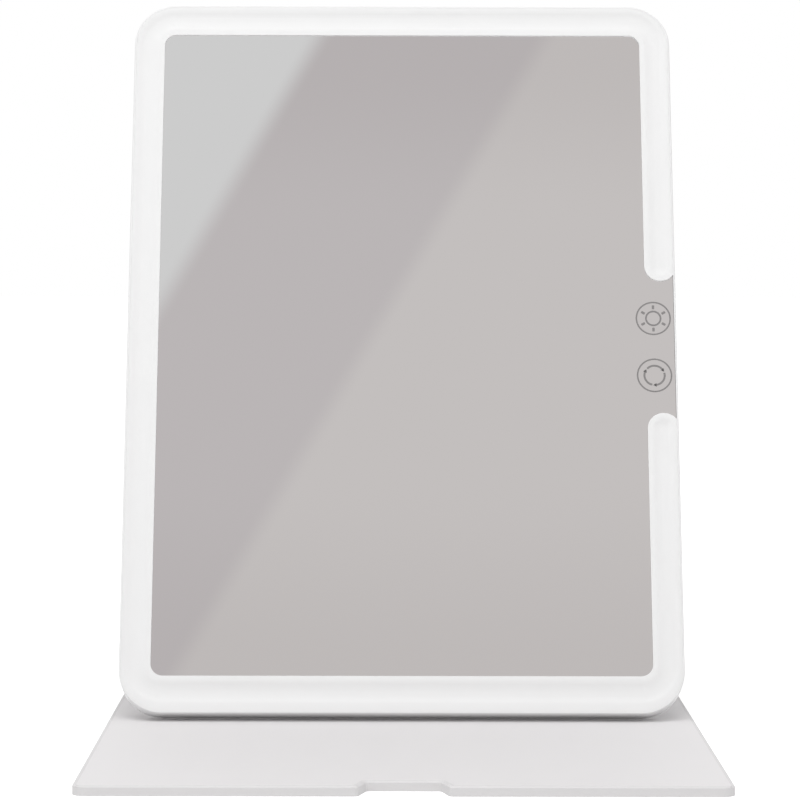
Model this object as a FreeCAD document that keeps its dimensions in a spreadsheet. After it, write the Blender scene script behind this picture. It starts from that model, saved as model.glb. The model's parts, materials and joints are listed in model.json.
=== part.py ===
import FreeCAD, Part
import math
import os
import re
import Sketcher

# Lighted makeup mirror on a folding cover. The mirror faces -Y and leans back, +Z is up, and the
# origin is the middle of the footprint on the table.

# Driving dimensions in millimetres, angles in degrees
SIZES = (
    # Moulded case
    ("case_width", 180.0),
    ("case_height", 244.0),
    ("case_depth", 10.0),
    ("case_corner", 14.0),
    ("rim_width", 0.6),
    ("rim_bevel", 0.3),
    ("wall_thick", 1.6),
    ("floor_thick", 1.5),
    ("foot_bevel", 2.6),
    ("shelf_width", 4.4),
    ("shelf_depth", 5.4),
    # Light ring
    ("ring_width", 9.4),
    ("ring_rise", 9.9),
    ("ring_chin", 1.5),
    ("ring_thick", 2.6),
    ("ring_lip", 1.2),
    ("channel_depth", 0.9),
    ("end_round", 5.2),
    ("touch_gap", 45.9),
    # Glass and the frame that carries it
    ("glass_thick", 1.8),
    ("tape_thick", 0.3),
    ("tape_inset", 6.0),
    ("fit_gap", 0.1),
    ("chassis_thick", 1.6),
    ("chassis_lap", 1.0),
    ("skirt_inset", 1.5),
    ("skirt_thick", 1.6),
    # Screws and their posts
    ("post_radius", 3.0),
    ("screw_radius", 1.0),
    ("screw_length", 4.0),
    ("head_radius", 2.2),
    ("head_height", 0.8),
    ("board_screw_length", 1.6),
    # Light board
    ("led_board_width", 6.4),
    ("led_board_thick", 0.8),
    ("led_board_gap", 0.4),
    ("led_length", 3.5),
    ("led_width", 2.8),
    ("led_height", 0.7),
    ("led_pitch", 12.0),
    ("light_break", 10.0),
    # Touch fields
    ("touch_pitch", 19.7),
    ("touch_edge", 7.45),
    ("touch_pad_width", 10.0),
    ("touch_pad_thick", 0.2),
    ("touch_board_thick", 1.0),
    ("touch_board_width", 13.0),
    ("touch_board_height", 38.0),
    ("ribbon_width", 6.0),
    ("ribbon_thick", 0.2),
    ("ribbon_bend", 0.5),
    ("ribbon_drop", 0.8),
    ("ribbon_setback", 1.2),
    # Main board and charging socket
    ("board_width", 42.0),
    ("board_height", 48.0),
    ("board_thick", 1.0),
    ("board_start", 14.0),
    ("tongue_width", 17.0),
    ("tongue_gap", 0.2),
    ("standoff_height", 0.6),
    ("standoff_radius", 2.5),
    ("chip_height", 1.6),
    ("header_width", 8.0),
    ("header_depth", 6.0),
    ("header_air", 1.0),
    ("socket_width", 8.9),
    ("socket_height", 3.2),
    ("socket_length", 7.3),
    ("socket_wall", 0.3),
    ("socket_back", 1.0),
    ("socket_recess", 0.3),
    ("blade_width", 6.7),
    ("blade_thick", 0.7),
    ("blade_setback", 1.2),
    ("pin_width", 0.64),
    ("pin_spread", 13.4),
    # Battery
    ("cell_width", 90.0),
    ("cell_corner", 3.0),
    ("cell_gap", 9.0),
    ("cell_clear", 13.9),
    ("cell_air", 0.9),
    ("cell_pad_thick", 0.6),
    ("cell_pad_inset", 8.0),
    ("lead_radius", 0.6),
    ("lead_spacing", 3.0),
    ("lead_inset", 8.0),
    # Magnets
    ("magnet_length", 24.0),
    ("magnet_width", 3.0),
    ("magnet_height", 3.0),
    ("magnet_gap", 0.6),
    ("cover_magnet_width", 8.0),
    ("cover_magnet_thick", 1.2),
    # Cover, spine, leg and back panel
    ("skin_thick", 0.8),
    ("stiff_thick", 1.4),
    ("lining_thick", 0.8),
    ("edge_width", 1.2),
    ("edge_bevel", 0.5),
    ("cover_side", 3.25),
    ("cover_over", 3.5),
    ("cover_corner", 4.0),
    ("notch_mouth", 25.9),
    ("notch_root", 21.2),
    ("notch_depth", 8.9),
    ("notch_round", 1.2),
    ("crease_gap", 4.0),
    ("spine_slack", 0.8),
    ("fold_gap", 4.7),
    ("stand_gap", 2.0),
    ("web_bend", 1.0),
    ("panel_inset", 2.0),
    ("panel_height", 64.0),
    ("panel_corner", 3.0),
    ("panel_bond", 0.3),
    # Stand
    ("lean_angle", 20.65),
    ("foot_clear", 0.3),
    # Overrun of every cut
    ("cut_over", 1.0),
)

# Battery header and the ribbon's end on the main board, as shares of the board's width
HEADER_SHARE = 0.72
RIBBON_SHARE = 0.7
# Corner radius of the charging socket, as a share of its height
SOCKET_ROUND_SHARE = 0.45

# Places and levels worked out from the driving dimensions. In the mirror's own frame X is across,
# Y runs up the mirror from its bottom edge, and Z runs forward from the back of the case.
DERIVED = (
    ("case_half", "case_width / 2"),
    ("seat_level", "case_depth - ring_thick"),
    ("shelf_level", "case_depth - shelf_depth"),
    ("chassis_low", "seat_level - chassis_thick"),
    ("glass_low", "seat_level + tape_thick"),
    ("wall_half", "case_half - wall_thick"),
    ("rim_half", "case_half - rim_width"),
    ("shelf_half", "wall_half - shelf_width"),
    ("ring_half", "rim_half - ring_width"),
    ("ring_low", "rim_width + ring_rise + ring_chin"),
    ("ring_high", "case_height - rim_width - ring_rise"),
    ("mid_height", "(ring_low + ring_high) / 2"),
    ("ring_corner", "case_corner - rim_width - ring_width"),
    ("end_half", "ring_half + end_round"),
    ("end_low", "mid_height - touch_gap / 2 - end_round"),
    ("end_high", "mid_height + touch_gap / 2 + end_round"),
    ("channel_half", "end_round - ring_lip"),
    ("channel_radius", "(channel_half ^ 2 + channel_depth ^ 2) / (2 * channel_depth)"),
    ("path_low", "ring_low - end_round"),
    ("path_high", "ring_high + end_round"),
    ("path_corner", "ring_corner + end_round"),
    ("skirt_half", "ring_half + chassis_lap - skirt_inset"),
    ("skirt_low", "ring_low - chassis_lap + skirt_inset"),
    ("skirt_high", "ring_high + chassis_lap - skirt_inset"),
    ("board_low", "floor_thick + standoff_height"),
    ("board_top", "board_low + board_thick"),
    ("board_left", "board_start - case_half"),
    ("board_right", "board_left + board_width"),
    ("board_foot", "mid_height - board_height / 2"),
    ("header_middle", f"board_left + board_width * {HEADER_SHARE}"),
    ("header_height", "chassis_low - board_top - header_air"),
    ("socket_round", f"socket_height * {SOCKET_ROUND_SHARE}"),
    ("bay_half", "tongue_width / 2 + tongue_gap"),
    ("cell_left", "header_middle - lead_inset"),
    ("cell_right", "cell_left + cell_width"),
    ("cell_top", "board_foot - cell_gap"),
    ("cell_thick", "chassis_low - floor_thick - cell_pad_thick - cell_air"),
    ("cell_foot", "skirt_low + skirt_thick + cell_clear"),
    ("led_half", "wall_half - led_board_gap"),
    ("led_level", "shelf_level + led_board_thick"),
    ("ribbon_start", f"board_left + board_width * {RIBBON_SHARE}"),
    ("ribbon_end", "led_half - touch_board_width + ribbon_setback"),
    ("touch_half", "case_half - touch_edge"),
    ("touch_board_top", "glass_low - touch_pad_thick"),
    ("touch_board_low", "touch_board_top - touch_board_thick"),
    ("tab_half", "rim_half - fit_gap"),
    ("sunk_height", "head_radius - screw_radius"),
    ("panel_thick", "skin_thick + stiff_thick + lining_thick"),
    ("axis_depth", "panel_bond + panel_thick - skin_thick / 2"),
    ("panel_half", "case_half - panel_inset"),
    ("panel_top", "case_height - panel_inset"),
    ("panel_low", "panel_top - panel_height"),
    ("fold_height", "panel_low - stand_gap"),
    ("leg_length", "fold_height + cover_over"),
    ("cover_half", "case_half + cover_side"),
    ("spine_pitch", "case_depth + 2 * (panel_thick - skin_thick / 2) + spine_slack"),
    ("cover_front", "0 - case_height - 2 * cover_over - spine_pitch"),
    ("foot_level", "panel_thick + foot_clear - foot_bevel * sin(lean_angle)"),
    ("fold_rise",
     "foot_level - skin_thick / 2 + fold_height * cos(lean_angle) - axis_depth * sin(lean_angle)"),
    ("fold_back", "fold_height * sin(lean_angle) + axis_depth * cos(lean_angle)"),
    ("leg_run", "sqrt(leg_length ^ 2 - fold_rise ^ 2)"),
    ("foot_reach", "0 - fold_back - leg_run"),
)

# Screw posts, as shares of the glass size from its lower left corner
POST_SHARES = ((0.06, 0.06), (0.94, 0.06), (0.06, 0.94), (0.94, 0.94))
# Board screws, as shares of the main board's size
STANDOFF_SHARES = ((0.1, 0.1), (0.9, 0.9))
# Countersinks narrow by this angle from each side, in degrees
SUNK_TAPER = -45
# Chips on the main board: centre and size, as shares of the main board's size
CHIP_SHARES = (
    (0.40, 0.70, 0.17, 0.15),
    (0.66, 0.66, 0.12, 0.10),
    (0.30, 0.38, 0.14, 0.12),
    (0.62, 0.40, 0.10, 0.16),
    (0.80, 0.46, 0.07, 0.06),
)
# Bar magnets of the case and the cover, as shares of the case width from its middle
MAGNET_SHARES = (-0.28, 0.28)

doc = FreeCAD.newDocument("LightedMirror")
sheet = doc.addObject("Spreadsheet::Sheet", "Sizes")
for row, (alias, content) in enumerate(SIZES + DERIVED, start=1):
    sheet.set("A%d" % row, alias)
    sheet.set("B%d" % row, "=" + content if isinstance(content, str) else str(content))
    sheet.setAlias("B%d" % row, alias)
doc.recompute()

# Objects to write, by the name of their file
nodes = {}


def value(expression):
    """The number that an expression of the sheet's names gives."""
    return float(sheet.evalExpression(expression))


def bind(target, prop, expression):
    """Ties a property to an expression of the sheet's names, which all hold an underscore."""
    target.setExpression(prop, re.sub(r"\b([a-z]+(?:_[a-z]+)+)\b", r"Sizes.\1", expression))


def hold(sketch, kind, expression, *places):
    """Adds a dimension to a sketch and ties it to the sheet."""
    index = sketch.addConstraint(Sketcher.Constraint(kind, *places, value(expression)))
    bind(sketch, "Constraints[%d]" % index, expression)


def arc_between(start, end, radius, turn):
    """The short arc from start to end that bends left or right."""
    chord = end - start
    side = FreeCAD.Vector(-chord.y, chord.x, 0).normalize()
    reach = math.sqrt(max(radius ** 2 - (chord.Length / 2) ** 2, 0))
    centre = (start + end) / 2 + side * (reach if turn == "left" else -reach)
    first, last = (start, end) if turn == "left" else (end, start)
    angles = [math.atan2(point.y - centre.y, point.x - centre.x) for point in (first, last)]
    circle = Part.Circle(centre, FreeCAD.Vector(0, 0, 1), radius)
    return Part.ArcOfCircle(circle, *angles)


def run(sketch, corners, closed=True):
    """Draws lines and arcs through corners. A corner is (x, y), or (x, y, radius, turn) where an
    arc leaves it."""
    spots = [FreeCAD.Vector(value(corner[0]), value(corner[1]), 0) for corner in corners]
    count = len(corners) if closed else len(corners) - 1
    base = sketch.GeometryCount
    ends = []
    for index in range(count):
        start, end = spots[index], spots[(index + 1) % len(spots)]
        if len(corners[index]) == 2:
            sketch.addGeometry(Part.LineSegment(start, end))
            ends.append((1, 2))
        else:
            radius, turn = corners[index][2:]
            sketch.addGeometry(arc_between(start, end, value(radius), turn))
            ends.append((1, 2) if turn == "left" else (2, 1))
    for index in range(count if closed else count - 1):
        after = (index + 1) % count
        joint = (base + index, ends[index][1], base + after, ends[after][0])
        sketch.addConstraint(Sketcher.Constraint("Coincident", *joint))
    for index, corner in enumerate(corners):
        edge = min(index, count - 1)
        spot = (base + edge, ends[edge][0] if index == edge else ends[edge][1])
        hold(sketch, "DistanceX", corner[0], -1, 1, *spot)
        hold(sketch, "DistanceY", corner[1], -1, 1, *spot)
        if len(corner) > 2:
            hold(sketch, "Radius", corner[2], base + index)


def rectangle(sketch, left, right, low, high):
    run(sketch, ((left, low), (right, low), (right, high), (left, high)))


def rounded(sketch, left, right, low, high, radius, top_radius=None):
    """A rectangle with round corners, the upper two with a radius of their own if given."""
    top = top_radius or radius
    run(sketch, (
        (f"{left} + {radius}", low),
        (f"{right} - ({radius})", low, radius, "left"),
        (right, f"{low} + {radius}"),
        (right, f"{high} - ({top})", top, "left"),
        (f"{right} - ({top})", high),
        (f"{left} + {top}", high, top, "left"),
        (left, f"{high} - ({top})"),
        (left, f"{low} + {radius}", radius, "left"),
    ))


def disc(sketch, x, y, radius):
    centre = FreeCAD.Vector(value(x), value(y), 0)
    edge = sketch.addGeometry(Part.Circle(centre, FreeCAD.Vector(0, 0, 1), value(radius)))
    hold(sketch, "DistanceX", x, -1, 1, edge, 3)
    hold(sketch, "DistanceY", y, -1, 1, edge, 3)
    hold(sketch, "Radius", radius, edge)


def end_rise(reach, radius):
    """How far past the end's centre a round ring end meets a straight edge at this reach."""
    return f"sqrt(({radius}) ^ 2 - ({reach} - end_half) ^ 2)"


def tabbed(sketch, margin, tab):
    """The glass outline grown by a margin: a rounded rectangle whose right edge runs out in a tab
    between the two round ends of the light ring."""
    reach = f"(ring_half + {margin})"
    low = f"(ring_low - ({margin}))"
    high = f"(ring_high + {margin})"
    corner = f"(ring_corner + {margin})"
    bend = f"(end_round - ({margin}))"
    rise = end_rise(tab, bend)
    run(sketch, (
        (f"0 - {reach} + {corner}", low),
        (f"{reach} - {corner}", low, corner, "left"),
        (reach, f"{low} + {corner}"),
        (reach, "end_low", bend, "right"),
        (tab, f"end_low + {rise}"),
        (tab, f"end_high - {rise}", bend, "right"),
        (reach, "end_high"),
        (reach, f"{high} - {corner}", corner, "left"),
        (f"{reach} - {corner}", high),
        (f"0 - {reach} + {corner}", high, corner, "left"),
        (f"0 - {reach}", f"{high} - {corner}"),
        (f"0 - {reach}", f"{low} + {corner}", corner, "left"),
    ))


class Piece:
    """A body built from sketches on its own origin planes."""

    def __init__(self, name):
        self.body = doc.addObject("PartDesign::Body", name)
        self.body.Label = name
        nodes[name] = self.body

    def sketch(self, level="0", plane="XY_Plane", across="0", up="0"):
        """A sketch on an origin plane, moved along the plane's normal and in its own axes."""
        drawing = self.body.newObject("Sketcher::SketchObject", "Sketch")
        support = [part for part in self.body.Origin.OriginFeatures if part.Role == plane][0]
        drawing.AttachmentSupport = [(support, "")]
        drawing.MapMode = "FlatFace"
        for axis, expression in (("x", across), ("y", up), ("z", level)):
            bind(drawing, "AttachmentOffset.Base." + axis, expression)
        return drawing

    def feature(self, kind, drawing):
        made = self.body.newObject("PartDesign::" + kind, kind)
        made.Profile = drawing
        self.body.Tip = made
        return made

    def pad(self, drawing, length):
        made = self.feature("Pad", drawing)
        bind(made, "Length", length)

    def pocket(self, drawing, depth, forwards=False, taper=0):
        made = self.feature("Pocket", drawing)
        bind(made, "Length", depth)
        made.Reversed = forwards
        made.TaperAngle = taper

    def soften(self, kind, prop, size, wanted):
        """Dresses the edges of the solid so far that the test picks."""
        doc.recompute()
        base = self.body.Tip
        names = [f"Edge{i}" for i, edge in enumerate(base.Shape.Edges, start=1) if wanted(edge)]
        made = self.body.newObject("PartDesign::" + kind, kind)
        made.Base = (base, names)
        bind(made, prop, size)
        self.body.Tip = made

    def fillet(self, radius, wanted):
        self.soften("Fillet", "Radius", radius, wanted)

    def chamfer(self, size, wanted):
        self.soften("Chamfer", "Size", size, wanted)


def at_level(level):
    """Picks the edges that lie in one level plane."""
    height = value(level)
    return lambda edge: all(abs(v.Z - height) < Part.Precision.confusion() for v in edge.Vertexes)


def upright(edge):
    return edge.Curve.TypeId == "Part::GeomLine" and abs(edge.tangentAt(edge.FirstParameter).z) == 1


def box(x, y, z, length, width, height):
    """A box by its lowest corner and its size along X, Y and Z."""
    made = doc.addObject("Part::Box", "Box")
    for prop, expression in (("Length", length), ("Width", width), ("Height", height)):
        bind(made, prop, expression)
    for axis, expression in (("x", x), ("y", y), ("z", z)):
        bind(made, "Placement.Base." + axis, expression)
    return made


def rod(x, y, z, radius, length, rotation=FreeCAD.Rotation()):
    """A cylinder from the middle of its first end."""
    made = doc.addObject("Part::Cylinder", "Rod")
    made.Placement = FreeCAD.Placement(FreeCAD.Vector(), rotation)
    bind(made, "Radius", radius)
    bind(made, "Height", length)
    for axis, expression in (("x", x), ("y", y), ("z", z)):
        bind(made, "Placement.Base." + axis, expression)
    return made


def group(name, members):
    """One node of several separate solids."""
    made = doc.addObject("Part::Compound", name)
    made.Label = name
    made.Links = members
    nodes[name] = made


def pan_head(x, y, z):
    return rod(x, y, z, "head_radius", "head_height")


def sunk_head(x, y, z):
    """A countersunk head, from the shank up to its flat top."""
    made = doc.addObject("Part::Cone", "Head")
    bind(made, "Radius1", "screw_radius")
    bind(made, "Radius2", "head_radius")
    bind(made, "Height", "sunk_height")
    for axis, expression in (("x", x), ("y", y), ("z", z)):
        bind(made, "Placement.Base." + axis, expression)
    return made


def screws(name, places, tip, length, head):
    """Screws that stand along Z, each a shank with a head of the given form."""
    made = []
    for x, y in places:
        screw = doc.addObject("Part::Fuse", "Screw")
        screw.Base = rod(x, y, tip, "screw_radius", length)
        screw.Tool = head(x, y, f"{tip} + {length}")
        made.append(screw)
    group(name, made)


post_places = [
    (f"ring_half * {2 * x_share - 1}", f"ring_low + (ring_high - ring_low) * {y_share}")
    for x_share, y_share in POST_SHARES
]
standoff_places = [
    (f"board_left + board_width * {x_share}", f"board_foot + board_height * {y_share}")
    for x_share, y_share in STANDOFF_SHARES
]
magnet_places = [f"case_width * {share} - magnet_length / 2" for share in MAGNET_SHARES]
magnet_feet = ("wall_thick + magnet_gap", "case_height - wall_thick - magnet_gap - magnet_width")
# Cover magnets: one row under the mirror's foot and one row at the front, which meets the top of
# the case when the cover is closed
cover_magnet_feet = (
    "foot_reach - cover_magnet_width / 2",
    "cover_front + notch_depth + edge_width + cover_magnet_width",
)


def rear_shell():
    piece = Piece("rear_shell")
    outline = piece.sketch()
    rounded(outline, "0 - case_half", "case_half", "0", "case_height", "case_corner")
    piece.pad(outline, "case_depth")
    piece.chamfer("foot_bevel", at_level("0"))
    piece.chamfer("rim_bevel", at_level("case_depth"))
    # Stepped hollow: a thin rim round the ring, a ledge under it, and a shelf for the light board
    steps = (
        ("rim_width", "ring_thick"),
        ("wall_thick", "shelf_depth"),
        ("(wall_thick + shelf_width)", "case_depth - floor_thick"),
    )
    for inset, depth in steps:
        hollow = piece.sketch("case_depth")
        sides = (f"{inset} - case_half", f"case_half - {inset}", inset, f"case_height - {inset}")
        rounded(hollow, *sides, f"(case_corner - {inset})")
        piece.pocket(hollow, depth)
    posts = piece.sketch("floor_thick")
    for x, y in post_places:
        disc(posts, x, y, "post_radius")
    piece.pad(posts, "chassis_low - floor_thick")
    standoffs = piece.sketch("floor_thick")
    for x, y in standoff_places:
        disc(standoffs, x, y, "standoff_radius")
    piece.pad(standoffs, "standoff_height")
    threads = piece.sketch("chassis_low")
    for x, y in post_places:
        disc(threads, x, y, "screw_radius + fit_gap")
    piece.pocket(threads, "screw_length - chassis_thick + sunk_height + fit_gap")
    board_threads = piece.sketch("board_low")
    for x, y in standoff_places:
        disc(board_threads, x, y, "screw_radius + fit_gap")
    piece.pocket(board_threads, "board_screw_length - board_thick + fit_gap")
    magnet_beds = piece.sketch("shelf_level")
    for x in magnet_places:
        for y in magnet_feet:
            sides = (f"{x} - fit_gap", f"{x} + magnet_length + fit_gap")
            rectangle(magnet_beds, *sides, f"{y} - fit_gap", f"{y} + magnet_width + fit_gap")
    piece.pocket(magnet_beds, "magnet_height + fit_gap")
    # Bay in the shelf for the board's tongue, and the socket's mouth in the side wall
    bay = piece.sketch("shelf_level")
    sides = ("0 - wall_half", "0 - shelf_half + cut_over")
    rectangle(bay, *sides, "mid_height - bay_half", "mid_height + bay_half")
    piece.pocket(bay, "shelf_level - board_low + tongue_gap")
    mouth = piece.sketch("0 - case_half - cut_over", "YZ_Plane")
    socket_outline(mouth, "fit_gap")
    piece.pocket(mouth, "wall_thick + 2 * cut_over", forwards=True)


def socket_outline(sketch, margin):
    """The socket's stadium-shaped section, grown by a margin."""
    half_width = f"(socket_width / 2 + {margin})"
    sides = (f"mid_height - {half_width}", f"mid_height + {half_width}")
    low = f"(board_top - ({margin}))"
    high = f"(board_top + socket_height + {margin})"
    rounded(sketch, *sides, low, high, f"(socket_round + {margin})")


def light_diffuser():
    piece = Piece("light_diffuser")
    outer = "(rim_half - fit_gap)"
    low = "(rim_width + fit_gap)"
    high = "(case_height - rim_width - fit_gap)"
    corner = "(case_corner - rim_width - fit_gap)"
    rise = end_rise(outer, "end_round")
    ring = piece.sketch("seat_level")
    run(ring, (
        (outer, f"end_low + {rise}"),
        (outer, f"{low} + {corner}", corner, "right"),
        (f"{outer} - {corner}", low),
        (f"{corner} - {outer}", low, corner, "right"),
        (f"0 - {outer}", f"{low} + {corner}"),
        (f"0 - {outer}", f"{high} - {corner}", corner, "right"),
        (f"{corner} - {outer}", high),
        (f"{outer} - {corner}", high, corner, "right"),
        (outer, f"{high} - {corner}"),
        (outer, f"end_high - {rise}", "end_round", "right"),
        ("ring_half", "end_high"),
        ("ring_half", "ring_high - ring_corner", "ring_corner", "left"),
        ("ring_half - ring_corner", "ring_high"),
        ("ring_corner - ring_half", "ring_high", "ring_corner", "left"),
        ("0 - ring_half", "ring_high - ring_corner"),
        ("0 - ring_half", "ring_low + ring_corner", "ring_corner", "left"),
        ("ring_corner - ring_half", "ring_low"),
        ("ring_half - ring_corner", "ring_low", "ring_corner", "left"),
        ("ring_half", "ring_low + ring_corner"),
        ("ring_half", "end_low", "end_round", "right"),
    ))
    piece.pad(ring, "ring_thick")
    # The hollow channel follows the ring from end to end and closes in a round bowl at each
    path = piece.sketch("case_depth")
    run(path, (
        ("end_half", "end_low"),
        ("end_half", "path_low + path_corner", "path_corner", "right"),
        ("end_half - path_corner", "path_low"),
        ("path_corner - end_half", "path_low", "path_corner", "right"),
        ("0 - end_half", "path_low + path_corner"),
        ("0 - end_half", "path_high - path_corner", "path_corner", "right"),
        ("path_corner - end_half", "path_high"),
        ("end_half - path_corner", "path_high", "path_corner", "right"),
        ("end_half", "path_high - path_corner"),
        ("end_half", "end_high"),
    ), closed=False)
    section = piece.sketch("0 - end_low", "XZ_Plane", "end_half", "case_depth")
    run(section, (
        ("0 - channel_half", "0", "channel_radius", "left"),
        ("channel_half", "0"),
        ("channel_half", "cut_over"),
        ("0 - channel_half", "cut_over"),
    ))
    channel = piece.feature("SubtractivePipe", section)
    channel.Spine = path
    for end in ("end_low", "end_high"):
        bowl = piece.sketch(f"0 - {end}", "XZ_Plane", "end_half", "case_depth")
        run(bowl, (
            ("0", "0 - channel_depth", "channel_radius", "left"),
            ("channel_half", "0"),
            ("channel_half", "cut_over"),
            ("0", "cut_over"),
        ))
        groove = piece.feature("Groove", bowl)
        groove.ReferenceAxis = (bowl, ["V_Axis"])
        groove.Angle = 360


def mirror_glass():
    piece = Piece("mirror_glass")
    outline = piece.sketch("glass_low")
    tabbed(outline, "0 - fit_gap", "tab_half")
    piece.pad(outline, "glass_thick")


def glass_tape():
    piece = Piece("glass_tape")
    outline = piece.sketch("seat_level")
    sides = ("tape_inset - ring_half", "ring_half - tape_inset")
    rectangle(outline, *sides, "ring_low + tape_inset", "ring_high - tape_inset")
    piece.pad(outline, "tape_thick")


def touch_bed(sketch, margin):
    """The touch board's outline at the tab, grown by a margin."""
    half_height = f"(touch_board_height / 2 + {margin})"
    sides = (f"led_half - touch_board_width - ({margin})", f"led_half + {margin}")
    rectangle(sketch, *sides, f"mid_height - {half_height}", f"mid_height + {half_height}")


def chassis_plate():
    piece = Piece("chassis_plate")
    outline = piece.sketch("chassis_low")
    tabbed(outline, "chassis_lap", "wall_half - fit_gap")
    piece.pad(outline, "chassis_thick")
    # Skirt that stands on the case floor and walls off the light channel
    skirt = piece.sketch("floor_thick")
    for inset in ("0", "skirt_thick"):
        half = f"(skirt_half - {inset})"
        low = f"skirt_low + {inset}"
        high = f"skirt_high - {inset}"
        rounded(skirt, f"0 - {half}", half, low, high, f"(ring_corner - {inset})")
    piece.pad(skirt, "chassis_low - floor_thick")
    countersinks = piece.sketch("seat_level")
    for x, y in post_places:
        disc(countersinks, x, y, "head_radius + fit_gap")
    piece.pocket(countersinks, "sunk_height", taper=SUNK_TAPER)
    holes = piece.sketch("seat_level")
    for x, y in post_places:
        disc(holes, x, y, "screw_radius + fit_gap")
    piece.pocket(holes, "chassis_thick")
    bed = piece.sketch("seat_level")
    touch_bed(bed, "fit_gap")
    piece.pocket(bed, "seat_level - touch_board_low")
    slot = piece.sketch("seat_level")
    sides = ("ribbon_end - fit_gap", "ribbon_end + ribbon_thick + fit_gap")
    slot_half = "(ribbon_width / 2 + fit_gap)"
    rectangle(slot, *sides, f"mid_height - {slot_half}", f"mid_height + {slot_half}")
    piece.pocket(slot, "chassis_thick")
    # Gate in the skirt for the main board's tongue and the socket
    gate = piece.sketch("floor_thick")
    sides = ("0 - skirt_half - cut_over", "skirt_thick + cut_over - skirt_half")
    rectangle(gate, *sides, "mid_height - bay_half", "mid_height + bay_half")
    piece.pocket(gate, "board_top + socket_height - floor_thick + fit_gap", forwards=True)


def led_board():
    piece = Piece("led_board")
    outline = piece.sketch("shelf_level")
    for inset in ("0", "led_board_width"):
        half = f"(led_half - {inset})"
        low = f"wall_thick + led_board_gap + {inset}"
        high = f"case_height - wall_thick - led_board_gap - {inset}"
        corner = f"(case_corner - wall_thick - led_board_gap - {inset})"
        rounded(outline, f"0 - {half}", half, low, high, corner)
    piece.pad(outline, "led_board_thick")
    # The board is broken over the charging socket
    gap = piece.sketch("led_level")
    sides = ("0 - led_half - cut_over", "led_board_width + cut_over - led_half")
    rectangle(gap, *sides, "mid_height - light_break / 2", "mid_height + light_break / 2")
    piece.pocket(gap, "led_board_thick")


def led_chips():
    """LEDs spaced along the straight runs of the ring's middle line."""
    corner_low = "path_low + path_corner"
    corner_high = "path_high - path_corner"
    across = "end_half - path_corner"
    runs = (
        ("0 - end_half", corner_low, "mid_height - light_break / 2", "up"),
        ("0 - end_half", "mid_height + light_break / 2", corner_high, "up"),
        ("end_half", corner_low, "end_low", "up"),
        ("end_half", "end_high", corner_high, "up"),
        ("path_low", f"0 - ({across})", across, "across"),
        ("path_high", f"0 - ({across})", across, "across"),
    )
    chips = []
    for line, start, end, heading in runs:
        count = round(value(f"({end} - ({start})) / led_pitch"))
        for index in range(count):
            share = (index + 0.5) / count
            along = f"{start} + ({end} - ({start})) * {share}"
            if heading == "up":
                spot = (f"{line} - led_width / 2", f"{along} - led_length / 2")
                size = ("led_width", "led_length")
            else:
                spot = (f"{along} - led_length / 2", f"{line} - led_width / 2")
                size = ("led_length", "led_width")
            chips.append(box(*spot, "led_level", *size, "led_height"))
    group("led_chips", chips)


def touch_board():
    piece = Piece("touch_board")
    outline = piece.sketch("touch_board_low")
    touch_bed(outline, "0")
    piece.pad(outline, "touch_board_thick")


def touch_pads():
    """Square electrodes behind the printed touch icons."""
    x = "touch_half - touch_pad_width / 2"
    places = [f"mid_height + touch_pitch / 2 * {side} - touch_pad_width / 2" for side in (1, -1)]
    size = ("touch_pad_width", "touch_pad_width", "touch_pad_thick")
    group("touch_pads", [box(x, y, "touch_board_top", *size) for y in places])


def touch_ribbon():
    """A flat cable that drops through the chassis, runs across under it and drops to the board."""
    piece = Piece("touch_ribbon")
    outline = piece.sketch("0 - mid_height - ribbon_width / 2", "XZ_Plane")
    level = "(chassis_low - ribbon_drop)"
    inner = "ribbon_bend"
    outer = "(ribbon_bend + ribbon_thick)"
    right = "(ribbon_end + ribbon_thick)"
    run(outline, (
        (right, "touch_board_low"),
        (right, f"{level} + {outer}", outer, "right"),
        (f"{right} - {outer}", level),
        (f"ribbon_start + {inner}", level, inner, "left"),
        ("ribbon_start", f"{level} - {inner}"),
        ("ribbon_start", "board_top"),
        ("ribbon_start - ribbon_thick", "board_top"),
        ("ribbon_start - ribbon_thick", f"{level} + ribbon_thick - {outer}", outer, "right"),
        (f"ribbon_start - ribbon_thick + {outer}", f"{level} + ribbon_thick"),
        (f"ribbon_end - {inner}", f"{level} + ribbon_thick", inner, "left"),
        ("ribbon_end", f"{level} + ribbon_thick + {inner}"),
        ("ribbon_end", "touch_board_low"),
    ))
    piece.pad(outline, "ribbon_width")


def main_board():
    """Charging board with a tongue that reaches out to the socket."""
    piece = Piece("main_board")
    outline = piece.sketch("board_low")
    tip = "tongue_gap - wall_half"
    tongue_low = "mid_height - tongue_width / 2"
    tongue_high = "mid_height + tongue_width / 2"
    top = "board_foot + board_height"
    run(outline, (
        (tip, tongue_low), ("board_left", tongue_low), ("board_left", "board_foot"),
        ("board_right", "board_foot"), ("board_right", top), ("board_left", top),
        ("board_left", tongue_high), (tip, tongue_high),
    ))
    piece.pad(outline, "board_thick")
    holes = piece.sketch("board_top")
    for x, y in standoff_places:
        disc(holes, x, y, "screw_radius + fit_gap")
    piece.pocket(holes, "board_thick")


def board_chips():
    chips = []
    for x_share, y_share, width_share, height_share in CHIP_SHARES:
        chips.append(box(
            f"board_left + board_width * {x_share - width_share / 2}",
            f"board_foot + board_height * {y_share - height_share / 2}",
            "board_top",
            f"board_width * {width_share}",
            f"board_height * {height_share}",
            "chip_height",
        ))
    header_size = ("header_width", "header_depth", "header_height")
    chips.append(box("header_middle - header_width / 2", "board_foot", "board_top", *header_size))
    group("board_chips", chips)


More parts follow.
